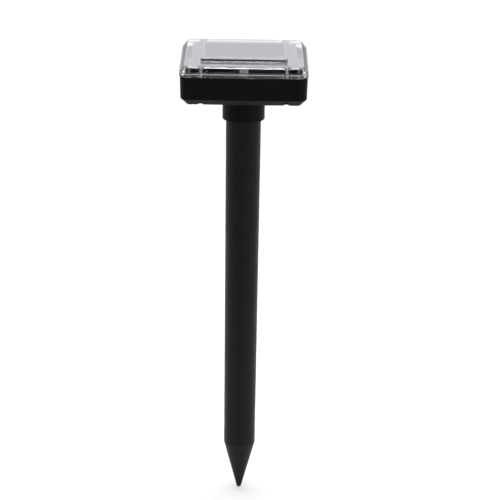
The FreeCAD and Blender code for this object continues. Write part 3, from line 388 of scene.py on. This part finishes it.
def spun_ring(centre, radius, wire, sides=10, steps=72):
    """A ring of round wire spun about the upright axis through centre."""
    bpy.ops.object.select_all(action="DESELECT")
    start = (centre[0] + radius, centre[1], centre[2])
    bpy.ops.mesh.primitive_circle_add(vertices=sides, radius=wire / 2, location=start,
                                      rotation=(math.pi / 2, 0, 0))
    ring = bpy.context.object
    bpy.ops.object.transform_apply(location=True, rotation=True, scale=True)
    bpy.ops.object.mode_set(mode="EDIT")
    bpy.ops.mesh.select_all(action="SELECT")
    bpy.ops.mesh.spin(steps=steps, angle=math.tau, center=centre, axis=(0, 0, 1))
    bpy.ops.mesh.select_all(action="SELECT")
    bpy.ops.mesh.remove_doubles(threshold=wire / 50)
    end_edit(60)
    return ring


def copy_of(piece, move):
    """A copy with its own mesh, moved within its mesh."""
    bpy.ops.object.select_all(action="DESELECT")
    piece.select_set(True)
    bpy.context.view_layer.objects.active = piece
    bpy.ops.object.duplicate(linked=False)
    twin = bpy.context.object
    bpy.ops.transform.translate(value=move)
    bpy.ops.object.transform_apply(location=True, rotation=True, scale=True)
    return twin


def hand_over(piece, name, material, body):
    """Names a finished piece and ties it to its body and material slot."""
    piece.name = name
    piece.data.name = name
    piece.data.materials.clear()
    piece.data.materials.append(material)
    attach(piece, body)


# ---- operators -----------------------------------------------------------------------------------

class REPELLER_OT_housing(bpy.types.Operator):
    """Finish the housing, collar, button bezel, battery holder and seals"""
    bl_idname = "repeller.housing"
    bl_label = "Housing"

    def execute(self, context):
        scene = context.scene
        black = moulded_black("moulded_housing", scene.repeller_colours.housing,
                              scene.repeller_sizes.grain, 0.42, 0.52, depth=0.00002, specular=0.08)
        dress(black, "housing", "collar", "button_bezel", "bezel_nut", "battery_holder")
        dress(plain("seal_rubber", (0.008, 0.008, 0.008), 0.6, 0.8), "cover_gasket", "tube_ring")
        return {"FINISHED"}


class REPELLER_OT_stake(bpy.types.Operator):
    """Finish the tube and tip"""
    bl_idname = "repeller.stake"
    bl_label = "Stake"

    def execute(self, context):
        scene = context.scene
        black = moulded_black("moulded_stake", scene.repeller_colours.stake,
                              scene.repeller_sizes.grain * 1.3, 0.38, 0.5, depth=0.00001, specular=0.14)
        dress(black, "stake_tube", "stake_tip")
        return {"FINISHED"}


class REPELLER_OT_cover(bpy.types.Operator):
    """Finish the clear cover and the tray under it, and make the rim bead"""
    bl_idname = "repeller.cover"
    bl_label = "Cover"

    def execute(self, context):
        dress(clear_cover(), "cover")
        gloss_black = plain("tray_black", context.scene.repeller_colours.tray, 0.14, 0.24, specular=0.4)
        dress(gloss_black, "panel_tray")
        make_rim_bead(context.scene.repeller_sizes)
        return {"FINISHED"}


def make_rim_bead(sizes):
    """The rounded bead of clear plastic round the cover's rim, which catches the light."""
    low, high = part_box("cover")
    side = high.x - low.x - 2 * sizes.bead_inset
    place = (middle(low.x, high.x), middle(low.y, high.y), low.z + sizes.bead_level)
    bead = start_cube(place, (side, side, sizes.bead_height))
    pick_edges(bead, lambda start, end: abs(start.z - end.z) > sizes.bead_height / 2)
    bpy.ops.mesh.bevel(offset=sizes.cover_corner - sizes.bead_inset, segments=14)
    pick_faces(bead, faces_up_or_down)
    bpy.ops.mesh.inset(thickness=sizes.bead_width)
    bpy.ops.mesh.bridge_edge_loops()
    pick_edges(bead, lambda start, end: abs(start.z - end.z) < LEVEL_SLACK)
    rounding = sizes.bead_height / 5
    bpy.ops.mesh.bevel(offset=rounding, segments=2)
    end_edit(50)
    edge = frosted("clear_edge", (0.40, 0.40, 0.42), transmission=0.35)
    hand_over(bead, "rim_bead", edge, "head")


class REPELLER_OT_solar_panel(bpy.types.Operator):
    """Finish the solar panel and make its ribbons"""
    bl_idname = "repeller.solar_panel"
    bl_label = "Solar Panel"

    def execute(self, context):
        sizes = context.scene.repeller_sizes
        dress(silicon(context.scene.repeller_colours.cell, sizes.finger_pitch), "solar_cells")
        dress(plain("panel_board", (0.012, 0.012, 0.014), 0.5, 0.65), "solar_backing")
        dress(resin(), "solar_resin")
        make_ribbons(sizes)
        return {"FINISHED"}


def make_ribbons(sizes):
    """The two tinned ribbons that run over all the cells, each with a narrower tail at both ends."""
    low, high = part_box("solar_cells")
    tinned = plain("tinned_ribbon", (0.62, 0.63, 0.65), 0.25, 0.4, metallic=1.0)
    third = (high.y - low.y) / 3
    tail_share = 0.7
    place = (middle(low.x, high.x), low.y + third, high.z + sizes.ribbon_thickness / 2)
    size = (high.x - low.x, sizes.ribbon_width, sizes.ribbon_thickness)
    ribbon = start_cube(place, size)
    pick_faces(ribbon, lambda face: abs(face.normal.x) > 0.9)
    bpy.ops.mesh.extrude_faces_move(TRANSFORM_OT_shrink_fatten={"value": sizes.ribbon_width})
    bpy.ops.transform.resize(value=(1.0, tail_share, 1.0))
    round_edges(sizes.ribbon_thickness / 4)
    far = copy_of(ribbon, (0, third, 0))
    hand_over(ribbon, "cell_ribbon_front", tinned, "head")
    hand_over(far, "cell_ribbon_back", tinned, "head")


class REPELLER_OT_screws(bpy.types.Operator):
    """Finish the screws and make the painted shadow of the cross recess in each cover screw's head"""
    bl_idname = "repeller.screws"
    bl_label = "Screws"

    def execute(self, context):
        dress(plain("zinc_screw", (0.55, 0.55, 0.52), 0.25, 0.45, metallic=1.0), *nodes_named("screw"))
        make_recess_shadows(context.scene.repeller_sizes)
        return {"FINISHED"}


def make_recess_shadows(sizes):
    """A dark cross of painted shadow, standing in for the shaded cross recess in the head of each cover
    screw, seen from underneath.
    """
    # Painted shadow: a near-black finish on a raised cross, in place of the shade inside each screw's
    # cross recess.
    shadowed = plain("recess_shadow", (0.012, 0.012, 0.013), 0.5, 0.7, metallic=0.4)
    places = []
    for name in nodes_named("cover_screw"):
        low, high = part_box(name)
        places.append(Vector((middle(low.x, high.x), middle(low.y, high.y), low.z)))
    first = places[0]
    cross = start_cube(first, (sizes.cross_width, sizes.cross_width, 2 * sizes.cross_rise))
    pick_faces(cross, lambda face: abs(face.normal.z) < 0.1)
    arm = (sizes.cross_length - sizes.cross_width) / 2
    bpy.ops.mesh.extrude_faces_move(TRANSFORM_OT_shrink_fatten={"value": arm})
    round_edges(sizes.cross_rise / 3)
    for index, place in enumerate(places[1:], 2):
        other = copy_of(cross, place - first)
        hand_over(other, "screw_cross_%d" % index, shadowed, "head")
    hand_over(cross, "screw_cross_1", shadowed, "head")


class REPELLER_OT_electronics(bpy.types.Operator):
    """Finish the board, batteries, switch, capsule and leads, and make the coil's turns and grip rings"""
    bl_idname = "repeller.electronics"
    bl_label = "Electronics"

    def execute(self, context):
        colours = context.scene.repeller_colours
        sizes = context.scene.repeller_sizes
        dress(plain("solder_mask", colours.board, 0.25, 0.4), "circuit_board")
        black = plain("component_black", (0.012, 0.012, 0.012), 0.45, 0.6)
        dress(black, "controller_chip", "power_transistor", "switch_body", "switch_stem", "sound_frame",
              "sound_clamp", "power_button")
        sleeve = plain("capacitor_sleeve", (0.01, 0.015, 0.05), 0.2, 0.35)
        dress(sleeve, "large_capacitor", "small_capacitor")
        copper = brushed("coil_copper", colours.copper, 0.25, 0.4, squeeze=(1, 1, 6))
        dress(copper, "boost_coil")
        dress(plain("socket_nylon", (0.70, 0.68, 0.60), 0.4, 0.55), *nodes_named("_socket"))
        dress(frosted("light_clear", (0.9, 0.25, 0.12), transmission=0.8), "indicator_light")
        # The light guide is painted dark below the cover's rim, as painted shade.
        dress(guide_with_painted_shade(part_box("cover")[0].z + sizes.painted_shade_height), "light_guide")
        dress(plain("magnet_plate", (0.35, 0.35, 0.36), 0.25, 0.4, metallic=1.0), "sound_magnet")
        diaphragm = brushed("diaphragm_metal", (0.6, 0.6, 0.6), 0.25, 0.4, squeeze=(1, 1, 1))
        dress(diaphragm, "sound_diaphragm")
        nickel = plain("nickel_plate", (0.62, 0.58, 0.50), 0.2, 0.4, metallic=1.0)
        dress(nickel, *nodes_named("contact_"), "switch_terminals")
        dress(plain("lead_red", (0.42, 0.012, 0.010), 0.4, 0.55), *nodes_named("lead_plus"))
        dress(plain("lead_black", (0.010, 0.010, 0.010), 0.4, 0.55), *nodes_named("lead_minus"))
        dress(plain("battery_wrap", (0.02, 0.16, 0.05), 0.2, 0.35), *nodes_named("battery_cell"))
        make_turns(sizes, copper)
        make_button_rings(sizes, black)
        return {"FINISHED"}


def make_turns(sizes, copper):
    """The outer layer of wire on the boost coil."""
    low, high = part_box("boost_coil")
    radius = (high.x - low.x) / 2 - sizes.turn_wire / 2
    wound_height = (high.z - low.z) / 2
    count = int(wound_height / sizes.turn_wire)
    base = middle(low.z, high.z) - (count - 1) * sizes.turn_wire / 2
    centre = (middle(low.x, high.x), middle(low.y, high.y), base)
    turn = spun_ring(centre, radius, sizes.turn_wire, sides=6, steps=40)
    for index in range(1, count):
        upper = copy_of(turn, (0, 0, index * sizes.turn_wire))
        hand_over(upper, "coil_turn_%d" % (index + 1), copper, "head")
    hand_over(turn, "coil_turn_1", copper, "head")


def make_button_rings(sizes, black):
    """Raised grip rings on the button's face, at a quarter and a half of its radius."""
    low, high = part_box("power_button")
    centre = (middle(low.x, high.x), middle(low.y, high.y), low.z)
    for index, share in enumerate((0.25, 0.5), 1):
        ring = spun_ring(centre, share * (high.x - low.x) / 2, sizes.ring_wire)
        hand_over(ring, "button_ring_%d" % index, black, "button")


class REPELLER_OT_stage(bpy.types.Operator):
    """Make the floor, the soft lights and the camera"""
    bl_idname = "repeller.stage"
    bl_label = "Stage"

    def execute(self, context):
        stage = context.scene.repeller_stage
        make_floor(stage)
        make_world(context.scene, stage)
        make_lights(stage)
        make_camera(context.scene, stage)
        context.scene.view_settings.view_transform = "Standard"
        cycles = context.scene.cycles
        cycles.max_bounces = CLEAR_BOUNCES
        cycles.transmission_bounces = CLEAR_BOUNCES
        cycles.glossy_bounces = GLOSSY_BOUNCES
        return {"FINISHED"}


def make_floor(stage):
    bpy.ops.object.select_all(action="DESELECT")
    bpy.ops.mesh.primitive_plane_add(size=FLOOR_SIDE, location=(0, 0, 0))
    floor = bpy.context.object
    floor.name = "floor"
    nodes = Nodes("floor_pale")
    base = nodes.blend(nodes.noise(0.4), tuple(stage.floor), lighter(stage.floor, 1.02))
    nodes.set(Roughness=0.9)
    floor.data.materials.append(nodes.finish(base))


def make_world(scene, stage):
    """A bright backdrop low behind the object and dim surroundings. The camera sees all of it bright."""
    world = bpy.data.worlds.new("studio")
    scene.world = world
    world.use_nodes = True
    tree = world.node_tree
    background = tree.nodes["Background"]
    where = tree.nodes.new("ShaderNodeTexCoord")
    split = tree.nodes.new("ShaderNodeSeparateXYZ")
    tree.links.new(where.outputs["Generated"], split.inputs["Vector"])
    across = sky_ramp(tree, split.outputs["Y"], (*BACKDROP_START, 0.0, 1.0))
    up = sky_ramp(tree, split.outputs["Z"], (*BACKDROP_TOP, stage.backdrop - stage.ambient, 0.0))
    both = tree.nodes.new("ShaderNodeMath")
    both.operation = "MULTIPLY_ADD"
    tree.links.new(across, both.inputs[0])
    tree.links.new(up, both.inputs[1])
    both.inputs[2].default_value = stage.ambient
    seen = tree.nodes.new("ShaderNodeLightPath")
    shown = tree.nodes.new("ShaderNodeMath")
    shown.operation = "MAXIMUM"
    tree.links.new(both.outputs["Value"], shown.inputs[0])
    tree.links.new(seen.outputs["Is Camera Ray"], shown.inputs[1])
    tree.links.new(shown.outputs["Value"], background.inputs["Strength"])
    background.inputs["Color"].default_value = (0.97, 0.97, 1.03, 1)


def sky_ramp(tree, value, limits):
    """Spreads the first two limits over the last two, with soft ends."""
    ramp = tree.nodes.new("ShaderNodeMapRange")
    ramp.interpolation_type = "SMOOTHSTEP"
    set_range(ramp, limits)
    tree.links.new(value, ramp.inputs["Value"])
    return ramp.outputs["Result"]


def make_lights(stage):
    """Three lights for the floor, a softbox for the clear cover and one for the black plastic."""
    floor_only = collection_of("lit_floor", bpy.data.objects["floor"])
    overhead = add_light("overhead", place=(0.0, 1.5, 2.0), target=(0.0, 1.5, 0.0), width=3.2, height=3.4,
                         power=stage.overhead, spread=60)
    foot = add_light("foot_light", place=(0.0, 0.0, 1.2), target=(0.0, 0.0, 0.0), width=1.8, height=0.8,
                     power=stage.foot, spread=60)
    room = add_light("room_light", place=(0.0, 0.0, 3.0), target=(0.0, 0.0, 0.0), width=9.0, height=9.0,
                     power=stage.room, spread=120)
    for light in (overhead, foot, room):
        light.light_linking.receiver_collection = floor_only
        light.light_linking.blocker_collection = floor_only
        light.visible_glossy = False
        light.visible_transmission = False
    front = add_light("front_box", place=(0.1, -1.4, 1.35), target=(0.0, 0.0, 0.42), width=0.8, height=0.6,
                      power=stage.front, spread=90)
    clear = (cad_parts["cover"], bpy.data.objects["rim_bead"])
    front.light_linking.receiver_collection = collection_of("lit_cover", *clear)
    front.visible_glossy = False
    right = add_light("right_box", place=(1.3, -1.3, 0.9), target=(0.0, 0.0, 0.25), width=0.35, height=1.2,
                      power=stage.side, spread=180)
    black = [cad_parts[name] for name in nodes_named("housing", "collar", "stake")]
    right.light_linking.receiver_collection = collection_of("lit_plastic", *black)


def collection_of(name, *members):
    """A collection for light linking."""
    collection = bpy.data.collections.new(name)
    for member in members:
        collection.objects.link(member)
    return collection


def add_light(name, place, target, width, height, power, spread):
    """A soft rectangular light aimed at a target, with its spread in degrees."""
    light = bpy.data.lights.new(name, "AREA")
    light.shape = "RECTANGLE"
    light.size = width
    light.size_y = height
    light.energy = power
    light.spread = math.radians(spread)
    holder = bpy.data.objects.new(name, light)
    bpy.context.scene.collection.objects.link(holder)
    holder.location = place
    holder.rotation_mode = "QUATERNION"
    holder.rotation_quaternion = (Vector(target) - Vector(place)).to_track_quat("-Z", "Y")
    return holder


def make_camera(scene, stage):
    camera = bpy.data.cameras.new("camera")
    camera.lens = stage.lens
    camera.sensor_width = SENSOR_WIDTH
    holder = bpy.data.objects.new("camera", camera)
    scene.collection.objects.link(holder)
    tilt = Matrix.Rotation(math.pi / 2 - stage.pitch, 4, "X")
    roll = Matrix.Rotation(stage.roll, 4, "Z")
    holder.matrix_world = Matrix.Translation((stage.aside, -stage.distance, stage.height)) @ tilt @ roll
    scene.camera = holder


class REPELLER_PT_panel(bpy.types.Panel):
    """Lists the repeller's building steps"""
    bl_label = "Stake Repeller"
    bl_idname = "REPELLER_PT_panel"
    bl_space_type = "VIEW_3D"
    bl_region_type = "UI"
    bl_category = "Repeller"

    def draw(self, context):
        for operator in OPERATORS:
            self.layout.operator(operator.bl_idname)
        for group in (context.scene.repeller_colours, context.scene.repeller_sizes,
                      context.scene.repeller_stage):
            box = self.layout.box()
            for name in group.__annotations__:
                box.prop(group, name)


GROUPS = (RepellerColours, RepellerSizes, RepellerStage)
OPERATORS = (
    REPELLER_OT_housing,
    REPELLER_OT_stake,
    REPELLER_OT_cover,
    REPELLER_OT_solar_panel,
    REPELLER_OT_screws,
    REPELLER_OT_electronics,
    REPELLER_OT_stage,
)


def register():
    for cls in (*GROUPS, *OPERATORS, REPELLER_PT_panel):
        bpy.utils.register_class(cls)
    bpy.types.Scene.repeller_colours = PointerProperty(type=RepellerColours)
    bpy.types.Scene.repeller_sizes = PointerProperty(type=RepellerSizes)
    bpy.types.Scene.repeller_stage = PointerProperty(type=RepellerStage)


def unregister():
    del bpy.types.Scene.repeller_stage
    del bpy.types.Scene.repeller_sizes
    del bpy.types.Scene.repeller_colours
    for cls in reversed((*GROUPS, *OPERATORS, REPELLER_PT_panel)):
        bpy.utils.unregister_class(cls)


def main():
    register()
    for operator in OPERATORS:
        group, name = operator.bl_idname.split(".")
        getattr(getattr(bpy.ops, group), name)()


if __name__ == "__main__":
    main()
